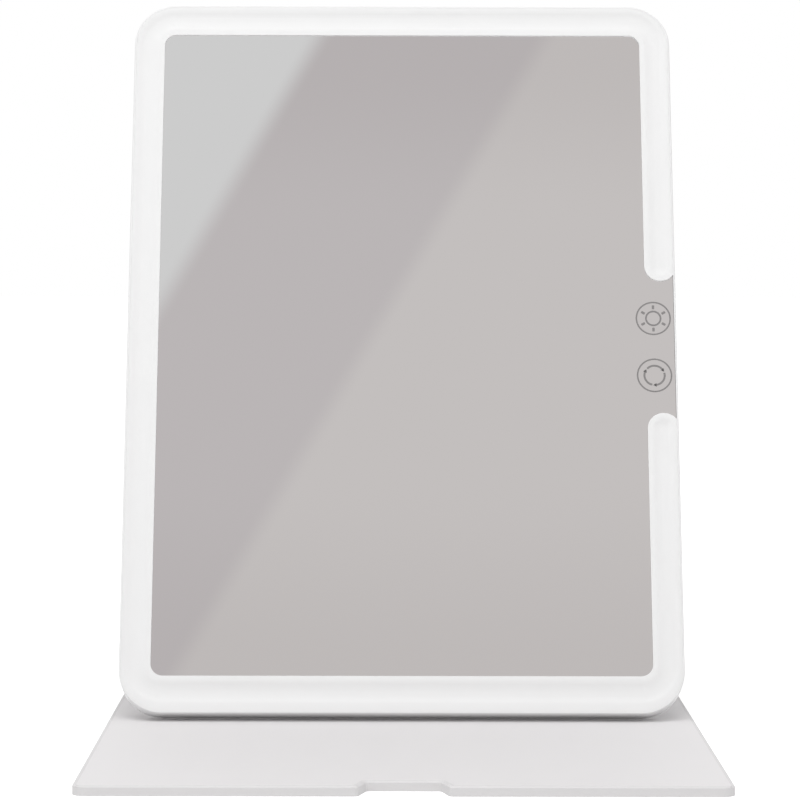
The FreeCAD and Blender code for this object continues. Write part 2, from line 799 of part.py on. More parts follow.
def usb_socket():
    """A folded metal shell with the contact blade inside."""
    piece = Piece("usb_socket")
    mouth = "socket_recess - case_half"
    shell = piece.sketch(mouth, "YZ_Plane")
    socket_outline(shell, "0")
    piece.pad(shell, "socket_length")
    hollow = piece.sketch(mouth, "YZ_Plane")
    socket_outline(hollow, "0 - socket_wall")
    piece.pocket(hollow, "socket_length - socket_back", forwards=True)
    blade = piece.sketch(f"{mouth} + blade_setback", "YZ_Plane")
    middle = "board_top + socket_height / 2"
    sides = ("mid_height - blade_width / 2", "mid_height + blade_width / 2")
    rectangle(blade, *sides, f"{middle} - blade_thick / 2", f"{middle} + blade_thick / 2")
    piece.pad(blade, "socket_length - blade_setback")


def led_leads():
    """Two square pins between the tongue of the main board and the light board above it."""
    places = [f"mid_height + pin_spread / 2 * {side} - pin_width / 2" for side in (1, -1)]
    x = "led_board_width / 2 - led_half - pin_width / 2"
    size = ("pin_width", "pin_width", "shelf_level - board_top")
    group("led_leads", [box(x, y, "board_top", *size) for y in places])


def battery_cell():
    piece = Piece("battery_cell")
    outline = piece.sketch("floor_thick + cell_pad_thick")
    rounded(outline, "cell_left", "cell_right", "cell_foot", "cell_top", "cell_corner")
    piece.pad(outline, "cell_thick")


def battery_pad():
    piece = Piece("battery_pad")
    outline = piece.sketch("floor_thick")
    sides = ("cell_left + cell_pad_inset", "cell_right - cell_pad_inset")
    rectangle(outline, *sides, "cell_foot + cell_pad_inset", "cell_top - cell_pad_inset")
    piece.pad(outline, "cell_pad_thick")


def battery_leads():
    """Two wires from the top of the cell to the header on the board's lower edge."""
    upwards = FreeCAD.Rotation(FreeCAD.Vector(1, 0, 0), -90)
    level = "board_top + header_height / 2"
    places = [f"header_middle + lead_spacing / 2 * {side}" for side in (1, -1)]
    group("battery_leads", [
        rod(x, "cell_top", level, "lead_radius", "cell_gap", upwards) for x in places
    ])


def case_magnets():
    size = ("magnet_length", "magnet_width", "magnet_height")
    level = "shelf_level - magnet_height"
    group("case_magnets", [box(x, y, level, *size) for x in magnet_places for y in magnet_feet])


def back_panel_plan(sketch, inset):
    """The upper back panel, whose upper corners follow the case."""
    half = f"(panel_half - ({inset}))"
    top_corner = f"(case_corner - panel_inset - ({inset}))"
    foot_corner = f"(panel_corner - ({inset}))"
    rounded(sketch, f"0 - {half}", half, f"panel_low + {inset}", f"panel_top - ({inset})",
            foot_corner, top_corner)


def back_panel_skin():
    piece = Piece("back_panel_skin")
    outline = piece.sketch("0 - panel_bond - panel_thick")
    back_panel_plan(outline, "0")
    piece.pad(outline, "panel_thick")
    piece.chamfer("edge_bevel", at_level("0 - panel_bond - panel_thick"))
    bed = piece.sketch("0 - panel_bond")
    back_panel_plan(bed, "edge_width")
    piece.pocket(bed, "panel_thick - skin_thick")


def back_panel_board():
    piece = Piece("back_panel_board")
    outline = piece.sketch("skin_thick - panel_bond - panel_thick")
    back_panel_plan(outline, "edge_width + fit_gap")
    piece.pad(outline, "panel_thick - skin_thick")


def back_panel_tape():
    piece = Piece("back_panel_tape")
    outline = piece.sketch("0 - panel_bond")
    back_panel_plan(outline, "edge_width")
    piece.pad(outline, "panel_bond")


def leg_plan(sketch, inset):
    """The leg, from the spine fold at Y 0 to the stand fold."""
    half = f"(panel_half - ({inset}))"
    low = f"fold_gap + {inset}"
    high = f"leg_length - stand_gap - ({inset})"
    rounded(sketch, f"0 - {half}", half, low, high, f"(panel_corner - ({inset}))")


def leg_skin():
    piece = Piece("leg_skin")
    outline = piece.sketch()
    leg_plan(outline, "0")
    piece.pad(outline, "panel_thick")
    piece.chamfer("edge_bevel", at_level("panel_thick"))
    bed = piece.sketch("panel_thick")
    leg_plan(bed, "edge_width")
    piece.pocket(bed, "panel_thick - skin_thick")


def leg_board():
    piece = Piece("leg_board")
    outline = piece.sketch("skin_thick")
    leg_plan(outline, "edge_width + fit_gap")
    piece.pad(outline, "stiff_thick")


def leg_lining():
    piece = Piece("leg_lining")
    outline = piece.sketch("skin_thick + stiff_thick")
    leg_plan(outline, "edge_width + fit_gap")
    piece.pad(outline, "lining_thick")


def cover_plan(sketch, inset, rear):
    """The cover from its notched front edge to a rear edge. Y 0 is the fold behind the spine."""
    half = f"(cover_half - ({inset}))"
    front = f"cover_front + {inset}"
    root = f"cover_front + notch_depth + {inset}"
    mouth_half = f"(notch_mouth / 2 + {inset})"
    root_half = f"(notch_root / 2 + {inset})"
    run(sketch, (
        (f"0 - {half}", front), (f"0 - {mouth_half}", front), (f"0 - {root_half}", root),
        (root_half, root), (mouth_half, front), (half, front), (half, rear), (f"0 - {half}", rear),
    ))


def front_corner(edge):
    return upright(edge) and abs(abs(edge.Vertexes[0].X) - value("cover_half")) < value("cover_corner")


def notch_corner(edge):
    return upright(edge) and abs(edge.Vertexes[0].X) < value("notch_mouth")


def cover_skin():
    """Outer covering of cover and spine: a shallow tray with turned-up, bevelled edges."""
    piece = Piece("cover_skin")
    outline = piece.sketch()
    cover_plan(outline, "0", "0 - fold_gap")
    piece.pad(outline, "panel_thick")
    piece.fillet("cover_corner", front_corner)
    piece.fillet("notch_round", notch_corner)
    piece.chamfer("edge_bevel", at_level("panel_thick"))
    bed = piece.sketch("panel_thick")
    cover_plan(bed, "edge_width", "0 - fold_gap - edge_width")
    piece.pocket(bed, "panel_thick - skin_thick")
    # The turned edges are cut away where the spine folds up from the cover
    relief = piece.sketch("panel_thick")
    reach = "(crease_gap / 2 - lining_thick)"
    sides = ("0 - cover_half - cut_over", "cover_half + cut_over")
    rectangle(relief, *sides, f"0 - spine_pitch - {reach}", f"0 - spine_pitch + {reach}")
    piece.pocket(relief, "panel_thick - skin_thick - lining_thick")


def cover_board():
    piece = Piece("cover_board")
    outline = piece.sketch("skin_thick")
    cover_plan(outline, "edge_width + fit_gap", "0 - spine_pitch - crease_gap / 2")
    piece.pad(outline, "stiff_thick")
    beds = piece.sketch("skin_thick + stiff_thick")
    for x in magnet_places:
        for y in cover_magnet_feet:
            sides = (f"{x} - fit_gap", f"{x} + magnet_length + fit_gap")
            rectangle(beds, *sides, f"{y} - fit_gap", f"{y} + cover_magnet_width + fit_gap")
    piece.pocket(beds, "stiff_thick")


def cover_magnets():
    size = ("magnet_length", "cover_magnet_width", "cover_magnet_thick")
    group("cover_magnets", [
        box(x, y, "skin_thick", *size) for x in magnet_places for y in cover_magnet_feet
    ])


def spine_board():
    piece = Piece("spine_board")
    outline = piece.sketch("skin_thick")
    half = "(cover_half - edge_width - fit_gap)"
    low = "crease_gap / 2 - spine_pitch"
    rectangle(outline, f"0 - {half}", half, low, "0 - fold_gap - edge_width - fit_gap")
    piece.pad(outline, "stiff_thick")


def cover_lining():
    """Inner covering, flush with the turned edges, that dips into the crease beside the spine."""
    piece = Piece("cover_lining")
    outline = piece.sketch("skin_thick + stiff_thick")
    cover_plan(outline, "edge_width + fit_gap", "0 - fold_gap - edge_width - fit_gap")
    piece.pad(outline, "lining_thick")
    half = "(cover_half - edge_width - fit_gap)"
    trough = piece.sketch("skin_thick")
    reach = "(crease_gap / 2 - fit_gap)"
    rectangle(trough, f"0 - {half}", half, f"0 - spine_pitch - {reach}", f"{reach} - spine_pitch")
    piece.pad(trough, "stiff_thick")
    groove = piece.sketch("panel_thick")
    reach = "(crease_gap / 2 - lining_thick)"
    sides = (f"0 - {half} - cut_over", f"{half} + cut_over")
    rectangle(groove, *sides, f"0 - spine_pitch - {reach}", f"{reach} - spine_pitch")
    piece.pocket(groove, "panel_thick - skin_thick - lining_thick")


def bent_web(name, corner, before, after, arms, half_width):
    """A strip of bare covering that runs in along one heading, bends at a corner and runs out
    along another. Corner and headings lie in the YZ plane."""
    turn = before.getAngle(after)
    inwards = (after - before).normalize()
    bend = value("web_bend")
    half_thick = value("skin_thick") / 2
    centre = corner + inwards * (bend / math.cos(turn / 2))
    tangent = bend * math.tan(turn / 2)
    sides = []
    for offset in (half_thick, -half_thick):
        first_side = before.cross(before.cross(after)).normalize()
        last_side = after.cross(before.cross(after)).normalize()
        points = (
            corner - before * arms[0] + first_side * offset,
            corner - before * tangent + first_side * offset,
            centre - inwards * (bend + offset),
            corner + after * tangent + last_side * offset,
            corner + after * arms[1] + last_side * offset,
        )
        sides.append(points)
    outer, inner = sides
    edges = []
    for points in sides:
        edges.append(Part.LineSegment(points[0], points[1]).toShape())
        edges.append(Part.Arc(points[1], points[2], points[3]).toShape())
        edges.append(Part.LineSegment(points[3], points[4]).toShape())
    edges.append(Part.LineSegment(outer[0], inner[0]).toShape())
    edges.append(Part.LineSegment(outer[4], inner[4]).toShape())
    face = Part.Face(Part.Wire(Part.__sortEdges__(edges)))
    strip = face.extrude(FreeCAD.Vector(2 * half_width, 0, 0))
    strip.translate(FreeCAD.Vector(-half_width, 0, 0))
    made = doc.addObject("Part::Feature", name)
    made.Label = name
    made.Shape = strip
    nodes[name] = made


rear_shell()
light_diffuser()
mirror_glass()
glass_tape()
chassis_plate()
led_board()
led_chips()
touch_board()
touch_pads()
touch_ribbon()
main_board()
board_chips()
usb_socket()
led_leads()
battery_cell()
battery_pad()
battery_leads()
screws("case_screws", post_places, "seat_level - sunk_height - screw_length", "screw_length", sunk_head)
screws("board_screws", standoff_places, "board_top - board_screw_length", "board_screw_length", pan_head)
case_magnets()
back_panel_board()
back_panel_skin()
back_panel_tape()
leg_board()
leg_skin()
leg_lining()
cover_board()
spine_board()
cover_skin()
cover_lining()
cover_magnets()

# Places of the three bodies. The leg closes the triangle between the stand fold on the mirror's
# back and the fold behind the spine.
lean = value("lean_angle")
leg_lean = math.degrees(math.atan2(value("leg_run"), value("fold_rise")))
x_axis = FreeCAD.Vector(1, 0, 0)
leg_heading = FreeCAD.Rotation(x_axis, 90 + leg_lean).multVec(FreeCAD.Vector(0, 1, 0))
mirror_heading = FreeCAD.Rotation(x_axis, 90 - lean).multVec(FreeCAD.Vector(0, 1, 0))
back_heading = FreeCAD.Vector(0, 1, 0)
fold_turn = back_heading.getAngle(leg_heading)
web_reach = value("web_bend") * (1 - math.tan(fold_turn / 2)) + value("skin_thick") / 2
fold_y = (-value("cover_front") - web_reach) / 2
fold_axis = FreeCAD.Vector(0, fold_y, value("skin_thick") / 2)
stand_axis = fold_axis + leg_heading * value("leg_length")

cover_place = FreeCAD.Placement(FreeCAD.Vector(0, fold_y, 0), FreeCAD.Rotation())
leg_turn = FreeCAD.Rotation(x_axis, 90 + leg_lean)
skin_middle = FreeCAD.Vector(0, 0, value("skin_thick") / 2)
leg_place = FreeCAD.Placement(fold_axis - leg_turn.multVec(skin_middle), leg_turn)
foot = FreeCAD.Vector(0, fold_y + value("foot_reach"), value("foot_level"))
mirror_place = FreeCAD.Placement(foot, FreeCAD.Rotation(x_axis, 90 - lean))

for name, piece in nodes.items():
    if name.startswith("leg_"):
        piece.Placement = leg_place
    elif name.startswith(("cover_", "spine_")):
        piece.Placement = cover_place
    else:
        piece.Placement = mirror_place

fold_arms = (value("fold_gap"), value("fold_gap"))
stand_arms = (value("stand_gap"), value("stand_gap"))
straight_half = value("panel_half - panel_corner")
bent_web("leg_fold_web", fold_axis, back_heading, leg_heading, fold_arms, straight_half)
bent_web("stand_fold_web", stand_axis, leg_heading, mirror_heading, stand_arms, straight_half)

doc.recompute()
failed = [item.Label for item in doc.Objects if {"Invalid", "Error"} & set(item.State)]
failed += [name for name, piece in nodes.items() if piece.Shape.isNull() or not piece.Shape.isValid()]
if failed:
    raise RuntimeError("these did not build: " + ", ".join(failed))

os.makedirs("parts", exist_ok=True)
for name, piece in nodes.items():
    piece.Shape.exportStep("parts/%s.step" % name)
print("leg lean %.3f, fold axis %s, stand axis %s, foot %s" % (leg_lean, fold_axis, stand_axis, foot))
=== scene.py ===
import json
import math

import bmesh
import bpy
from mathutils import Matrix, Vector


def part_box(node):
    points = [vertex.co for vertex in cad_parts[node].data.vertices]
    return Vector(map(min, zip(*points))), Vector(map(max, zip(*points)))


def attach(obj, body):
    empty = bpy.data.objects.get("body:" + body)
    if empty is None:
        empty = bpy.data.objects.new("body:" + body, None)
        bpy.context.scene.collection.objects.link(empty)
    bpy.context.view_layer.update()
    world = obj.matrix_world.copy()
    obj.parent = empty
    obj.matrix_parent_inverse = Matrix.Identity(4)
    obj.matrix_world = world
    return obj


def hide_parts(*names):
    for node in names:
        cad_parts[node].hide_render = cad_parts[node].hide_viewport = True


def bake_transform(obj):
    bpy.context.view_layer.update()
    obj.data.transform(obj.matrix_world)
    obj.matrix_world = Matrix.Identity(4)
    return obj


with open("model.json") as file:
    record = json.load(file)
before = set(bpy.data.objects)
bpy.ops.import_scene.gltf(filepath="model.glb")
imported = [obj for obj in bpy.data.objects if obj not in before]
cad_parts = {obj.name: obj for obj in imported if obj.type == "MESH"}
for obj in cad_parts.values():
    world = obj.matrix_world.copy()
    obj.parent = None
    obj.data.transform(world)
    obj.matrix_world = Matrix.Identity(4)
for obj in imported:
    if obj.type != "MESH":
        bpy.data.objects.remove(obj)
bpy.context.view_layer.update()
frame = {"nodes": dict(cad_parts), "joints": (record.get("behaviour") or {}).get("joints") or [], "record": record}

# Lighted makeup mirror on its folding cover, in metres. The mirror faces -Y and leans back.
MM = 0.001
scene = bpy.context.scene
scene.view_settings.view_transform = "Standard"

# The photograph's size and lens, and the camera's place from the case's front foot
PHOTO_SIDE = 800
SENSOR = 36.0
LENS = 153.0
CAMERA_SIDE = -5.0 * MM
CAMERA_DISTANCE = 1069.7 * MM
CAMERA_HEIGHT = 155.4 * MM
CAMERA_YAW = 0.219
CAMERA_PITCH = 2.849
CAMERA_ROLL = -0.12

# Printed touch icons
INK = 0.03 * MM
CIRCLE_LINE = 0.5 * MM
SUN_LINE = 0.58 * MM
RAY_LINE = 0.8 * MM
ARROW_LINE = 0.66 * MM
CIRCLE_RADIUS = 5.55 * MM
SUN_RADIUS = 2.4 * MM
RAY_INNER = 3.2 * MM
RAY_OUTER = 4.55 * MM
RAY_COUNT = 6
RAY_ROUNDING = RAY_LINE / 4
FIRST_RAY = 90
CYCLE_RADIUS = 3.3 * MM
CYCLE_TAILS = (130, 10, 250)
CYCLE_SWEEP = 96
HEAD_WIDTH = 1.4 * MM
HEAD_ROUNDING = HEAD_WIDTH / 10
CIRCLE_STEPS = 96
STROKE_STEPS = CIRCLE_STEPS // 4

# Coverings and edges
SKIN_THICK = 0.8 * MM
SKIN_SOFTNESS = 0.34 * MM
SEAM_GROWTH = 0.08 * MM
SLANT_SHARES = (0.5, 0.9)
SIDE_SHARE = 0.1
FOLD_BEND = 1.0 * MM
FOLD_STEPS = 14
ROUND_STEPS = 3
ROUND_ANGLE = math.radians(35)
BEVELLED_ANGLE = math.radians(50)
FLAT_ANGLE = math.radians(0.4)
MERGE_GAP = 0.002 * MM
BEVELLED_NODES = ("rear_shell",)

# Clouds, grains and depths of the finishes
CASE_CLOUD = 25 * MM
CASE_TEXTURE = 0.25 * MM
CASE_TEXTURE_DEPTH = 0.006 * MM
RING_SCATTER = 0.35 * MM
RING_CLOUD = 12 * MM
RING_POLISH = 0.8 * MM
RING_WAVE = 3 * MM
RING_WAVE_DEPTH = 0.006 * MM
GLASS_CLOUD = 60 * MM
GLASS_POLISH = 9 * MM
INK_MOTTLE = 0.4 * MM
INK_POLISH = 0.2 * MM
SKIN_CLOUD = 18 * MM
SKIN_PEBBLE = 0.55 * MM
SKIN_CREASE = 0.2 * MM
SKIN_DEPTH = 0.03 * MM
LINING_NAP = 0.12 * MM
LINING_NAP_DEPTH = 0.03 * MM
LINING_STROKE = 7 * MM
LINING_STRETCH = (1.0, 0.35, 1.0)
BOARD_PATCH = 2.4 * MM
BOARD_TRACK_SHARES = (0.06, 0.1)
BOARD_TRACK_HEIGHT = 0.03 * MM
BOARD_POLISH = 0.5 * MM
LED_BLOOM = 1.4 * MM
LED_BLOOM_SHARES = (0.4, 0.6)
DRAWN_DEPTH = 0.004 * MM
DRAWN_STRETCH = (1.0, 0.04, 0.04)
RIBBON_TRACK = 0.6 * MM
RIBBON_TRACK_SHARES = (0.45, 0.55)
RIBBON_TRACK_HEIGHT = 0.02 * MM
RIBBON_STRETCH = (0.01, 1.0, 1.0)
CELL_WRINKLE = 6 * MM
CELL_WRINKLE_DEPTH = 0.15 * MM
SPECK_DEPTH_SHARE = 0.05

# Studio
FLOOR_SIDE = 14.0
FLOOR_WHITE = 0.86
FLOOR_LIFT = 0.5
WORLD_LIGHT = 0.69
KEY_DISTANCE = 1.6
KEY_SIDE = 1.5
KEY_POWER = 11.8
KEY_HEADING = Vector((-0.12, -0.42, 0.9)).normalized()
CARD_SIDE = 9.0
CARD_DISTANCE = 1.2
CARD_SOFTNESS = 9 * MM
CARD_LIGHT = (0.671, 0.671, 0.671, 1)
CARD_DARK = (0.546, 0.516, 0.52, 1)
CARD_WARM = (0.607, 0.579, 0.572, 1)
CARD_DIM = (0.94, 0.935, 0.935, 1)
# The reflection's two slanting edges and its dim rows at top and bottom, in the photograph's pixels
LIGHT_EDGE_PIXELS = ((320, 36), (170, 290))
DARK_EDGE_PIXELS = ((545, 40), (177, 670))
DIM_ROW_PIXELS = ((220, 60), (470, 670))


# Directions and places

def reach(node, direction):
    """How far a node lies along a direction: its nearest and its farthest point."""
    spans = [vertex.co.dot(direction) for vertex in frame["nodes"][node].data.vertices]
    return min(spans), max(spans)


def widest_normal(node, towards):
    """The normal of the widest of a node's faces that look some way."""
    faces = [face for face in frame["nodes"][node].data.polygons if face.normal.dot(towards) > 0]
    return max(faces, key=lambda face: face.area).normal.copy()


def joint_axis(name):
    """A point on a joint's axis."""
    return Vector(next(joint["pos_m"] for joint in frame["joints"] if joint["name"] == name))


across = Vector((1, 0, 0))
back_and_up = Vector((0, 1, 1))
facing = widest_normal("mirror_glass", Vector((0, -1, 0)))
rise = facing.cross(across)
glass_front = reach("mirror_glass", facing)[1]


# Mesh work

def choose(piece):
    """Selects one piece alone."""
    bpy.ops.object.select_all(action="DESELECT")
    piece.select_set(True)
    bpy.context.view_layer.objects.active = piece


def open_mesh(piece):
    """Opens a piece's mesh for work, with all of it selected."""
    choose(piece)
    bpy.ops.object.mode_set(mode="EDIT")
    bpy.ops.mesh.select_all(action="SELECT")


def close_mesh():
    bpy.ops.object.mode_set(mode="OBJECT")


def pick_edges(piece, wanted):
    """Selects the edges of an open mesh whose ends all pass a test, and nothing else."""
    bpy.ops.mesh.select_mode(type="EDGE")
    bpy.ops.mesh.select_all(action="DESELECT")
    mesh = bmesh.from_edit_mesh(piece.data)
    for edge in mesh.edges:
        edge.select_set(all(wanted(vertex.co) for vertex in edge.verts))
    bmesh.update_edit_mesh(piece.data)


def pick_faces(piece, wanted):
    """Selects the faces of an open mesh whose normals pass a test, and nothing else."""
    bpy.ops.mesh.select_mode(type="FACE")
    bpy.ops.mesh.select_all(action="DESELECT")
    mesh = bmesh.from_edit_mesh(piece.data)
    for face in mesh.faces:
        face.select_set(wanted(face.normal))
    bmesh.update_edit_mesh(piece.data)


def slide(offset):
    """Extrudes what is selected along an offset."""
    bpy.ops.mesh.extrude_region_move(TRANSFORM_OT_translate={"value": offset})


def settle(piece, place):
    """Puts a piece in its place, with its object left at the origin."""
    choose(piece)
    piece.matrix_world = place
    bpy.ops.object.transform_apply(location=True, rotation=True, scale=True)


def add_modifier(piece, kind, **settings):
    made = piece.modifiers.new(kind.title(), kind)
    for setting, value in settings.items():
        setattr(made, setting, value)


def apply_modifiers(piece):
    """Turns what a piece's modifiers make into its own mesh."""
    choose(piece)
    for modifier in list(piece.modifiers):
        bpy.ops.object.modifier_apply(modifier=modifier.name)


def name_piece(piece, name):
    piece.name = name
    piece.data.name = name


# Touch icons, drawn flat round the origin and then laid on the glass

def ink_over(piece):
    """Gives a flat drawing the thickness of its ink."""
    open_mesh(piece)
    slide((0, 0, INK))
    bpy.ops.mesh.select_all(action="SELECT")
    bpy.ops.mesh.normals_make_consistent(inside=False)
    close_mesh()
    return piece


def circle_line(radius, line):
    """A printed circle. Its radius goes to the middle of its line."""
    outer = radius + line / 2
    bpy.ops.mesh.primitive_circle_add(vertices=CIRCLE_STEPS, radius=outer, fill_type="NGON")
    circle = bpy.context.object
    open_mesh(circle)
    bpy.ops.mesh.inset(thickness=line)
    bpy.ops.mesh.delete(type="FACE")
    close_mesh()
    return ink_over(circle)


def sun_ray():
    """A short stroke that points away from the middle of the sun, to the right."""
    bpy.ops.mesh.primitive_plane_add(size=RAY_LINE)
    ray = bpy.context.object
    open_mesh(ray)
    bpy.ops.transform.translate(value=(RAY_INNER + RAY_LINE / 2, 0, 0))
    pick_edges(ray, lambda point: point.x > RAY_INNER + RAY_LINE / 2)
    slide((RAY_OUTER - RAY_INNER - RAY_LINE, 0, 0))
    bpy.ops.mesh.select_all(action="SELECT")
    bpy.ops.mesh.dissolve_limited(angle_limit=FLAT_ANGLE)
    bpy.ops.mesh.bevel(offset=RAY_ROUNDING, segments=ROUND_STEPS, affect="VERTICES")
    close_mesh()
    return ink_over(ray)


def cycle_stroke():
    """A clockwise stroke from a tail at the right to where its head starts."""
    bpy.ops.mesh.primitive_plane_add(size=ARROW_LINE)
    stroke = bpy.context.object
    open_mesh(stroke)
    bpy.ops.transform.translate(value=(CYCLE_RADIUS, 0, 0))
    pick_edges(stroke, lambda point: point.y < 0)
    sweep = math.radians(CYCLE_SWEEP)
    bpy.ops.mesh.spin(steps=STROKE_STEPS, angle=sweep, center=(0, 0, 0), axis=(0, 0, 1))
    close_mesh()
    return ink_over(stroke)


def cycle_head():
    """The three-cornered head at the end of that stroke."""
    bpy.ops.mesh.primitive_circle_add(vertices=3, radius=HEAD_WIDTH / math.sqrt(3), fill_type="NGON")
    head = bpy.context.object
    open_mesh(head)
    bpy.ops.mesh.bevel(offset=HEAD_ROUNDING, segments=ROUND_STEPS, affect="VERTICES")
    close_mesh()
    turn = Matrix.Rotation(math.radians(-CYCLE_SWEEP), 4, "Z")
    settle(head, turn @ Matrix.Translation((CYCLE_RADIUS, 0, 0)) @ Matrix.Rotation(math.pi, 4, "Z"))
    return ink_over(head)


def turned_copies(drawing, angles):
    """Copies of a drawing at some angles round the origin, in place of the drawing itself."""
    copies = []
    for angle in angles:
        copy = drawing.copy()
        copy.data = drawing.data.copy()
        scene.collection.objects.link(copy)
        settle(copy, Matrix.Rotation(math.radians(angle), 4, "Z"))
        copies.append(copy)
    bpy.data.objects.remove(drawing)
    return copies


def lay_icon(name, up, drawings):
    """Joins an icon's drawings with its outer circle and lays it on the glass over its touch pad."""
    icon = circle_line(CIRCLE_RADIUS, CIRCLE_LINE)
    choose(icon)
    for drawing in drawings:
        drawing.select_set(True)
    bpy.ops.object.join()
    name_piece(icon, name)
    low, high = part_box("touch_pads")
    middle = across * ((low.x + high.x) / 2) + rise * up + facing * glass_front
    turn = Matrix((across, rise, facing)).transposed().to_4x4()
    settle(icon, Matrix.Translation(middle) @ turn)
    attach(icon, "mirror_unit")
    paint(icon, finishes["icon_ink"])


def add_icons():
    """The sun for brightness, above the turning arrows for the colour of the light."""
    low, high = reach("touch_pads", rise)
    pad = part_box("touch_pads")
    half_pad = (pad[1].x - pad[0].x) / 2
    ray_angles = [FIRST_RAY + 360 / RAY_COUNT * index for index in range(RAY_COUNT)]
    rays = turned_copies(sun_ray(), ray_angles)
    lay_icon("brightness_icon", high - half_pad, [circle_line(SUN_RADIUS, SUN_LINE)] + rays)
    strokes = turned_copies(cycle_stroke(), CYCLE_TAILS)
    heads = turned_copies(cycle_head(), CYCLE_TAILS)
    lay_icon("light_colour_icon", low + half_pad, strokes + heads)


# Folio

def copy_form(node, name):
    """A new piece with a CAD node's form, opened for work."""
    piece = bpy.data.objects.new(name, frame["nodes"][node].data.copy())
    scene.collection.objects.link(piece)
    name_piece(piece, name)
    open_mesh(piece)
    bpy.ops.mesh.remove_doubles(threshold=MERGE_GAP)
    bpy.ops.mesh.dissolve_limited(angle_limit=FLAT_ANGLE)
    return piece


def finish_covering(piece, node, body, slot):
    """Smooths an open covering, gives it its body and its finish, and hides the node that it stands for."""
    close_mesh()
    bpy.ops.object.shade_smooth_by_angle(angle=ROUND_ANGLE)
    add_modifier(piece, "WEIGHTED_NORMAL", keep_sharp=True)
    apply_modifiers(piece)
    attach(piece, body)
    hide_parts(node)
    paint(piece, finishes[slot])


def add_wrap(node, name, body):
    """The outer covering of a panel, its bevelled edge softly rolled over."""
    outwards = widest_normal(node, back_and_up)
    wrap = copy_form(node, name)
    pick_faces(wrap, lambda normal: SLANT_SHARES[0] < abs(normal.dot(outwards)) < SLANT_SHARES[1])
    bpy.ops.mesh.region_to_loop()
    bpy.ops.mesh.bevel(offset=SKIN_SOFTNESS, segments=ROUND_STEPS, affect="EDGES", clamp_overlap=True)
    finish_covering(wrap, node, body, "cover_skin")


def add_inlay(node, name, body, slot):
    """A piece that is pressed in, so that its sides close the seam round it."""
    outwards = widest_normal(node, back_and_up)
    inlay = copy_form(node, name)
    pick_faces(inlay, lambda normal: abs(normal.dot(outwards)) < SIDE_SHARE)
    bpy.ops.transform.shrink_fatten(value=SEAM_GROWTH, use_even_offset=True)
    finish_covering(inlay, node, body, slot)


def add_fold_strip(name, node, axis, before, after, arms):
    """A strip of bare covering across a fold: it comes in along one heading, bends round the axis
    and leaves along another. The arms are its lengths on the two sides of the axis."""
    low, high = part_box(node)
    turn = before.angle(after)
    tangent = FOLD_BEND * math.tan(turn / 2)
    centre = axis + (after - before).normalized() * (FOLD_BEND / math.cos(turn / 2))
    bend_start = axis - before * tangent
    run_in = arms[0] - tangent
    bpy.ops.mesh.primitive_plane_add(size=1)
    strip = bpy.context.object
    name_piece(strip, name)
    flat = Matrix((across, before, across.cross(before))).transposed().to_4x4()
    stretch = Matrix.Diagonal((high.x - low.x, run_in, 1, 1))
    settle(strip, Matrix.Translation(bend_start - before * (run_in / 2)) @ flat @ stretch)
    open_mesh(strip)
    pick_edges(strip, lambda point: (point - bend_start).dot(before) > -run_in / 2)
    bpy.ops.mesh.spin(steps=FOLD_STEPS, angle=turn, center=centre, axis=after.cross(before).normalized())
    slide(after * (arms[1] - tangent))
    bpy.ops.mesh.select_all(action="SELECT")
    bpy.ops.mesh.remove_doubles(threshold=MERGE_GAP)
    bpy.ops.mesh.normals_make_consistent(inside=False)
    close_mesh()
    add_modifier(strip, "SOLIDIFY", thickness=SKIN_THICK, offset=0)
    apply_modifiers(strip)
    bpy.ops.object.shade_smooth_by_angle(angle=ROUND_ANGLE)
    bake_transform(strip)
    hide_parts(node)
    paint(strip, finishes["cover_skin"])


def add_folio():
    """The covering of cover, leg and back panel, and the strips across the two folds."""
    add_wrap("cover_skin", "cover_wrap", "cover")
    add_inlay("cover_lining", "cover_inlay", "cover", "cover_lining")
    add_wrap("leg_skin", "leg_wrap", "leg")
    add_inlay("leg_lining", "leg_inlay", "leg", "cover_lining")
    add_wrap("back_panel_skin", "back_panel_wrap", "mirror_unit")
    leg_axis = joint_axis("leg_fold")
    stand_axis = joint_axis("stand_fold")
    backwards = Vector((0, 1, 0))
    up_leg = (stand_axis - leg_axis).normalized()
    leg_low, leg_high = reach("leg_skin", up_leg)
    panel_low = reach("back_panel_skin", rise)[0]
    leg_arms = (leg_axis.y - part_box("cover_skin")[1].y, leg_low - leg_axis.dot(up_leg))
    stand_arms = (stand_axis.dot(up_leg) - leg_high, panel_low - stand_axis.dot(rise))
    add_fold_strip(
        "leg_fold_strip", "leg_fold_web", leg_axis, backwards, up_leg, leg_arms
    )
    add_fold_strip(
        "stand_fold_strip", "stand_fold_web", stand_axis, up_leg, rise, stand_arms
    )


# Shaders

class Value:
    """A socket of a shader tree that Python sums can use."""

    def __init__(self, shading, socket):
        self.shading = shading
        self.socket = socket

    def math(self, operation, first, second):
        return self.shading.node("Math", {"operation": operation}, {0: first, 1: second})

    def __add__(self, other):
        return self.math("ADD", self, other)

    def __radd__(self, other):
        return self.math("ADD", other, self)

    def __sub__(self, other):
        return self.math("SUBTRACT", self, other)

    def __rsub__(self, other):
        return self.math("SUBTRACT", other, self)

    def __mul__(self, other):
        return self.math("MULTIPLY", self, other)

    def __rmul__(self, other):
        return self.math("MULTIPLY", other, self)


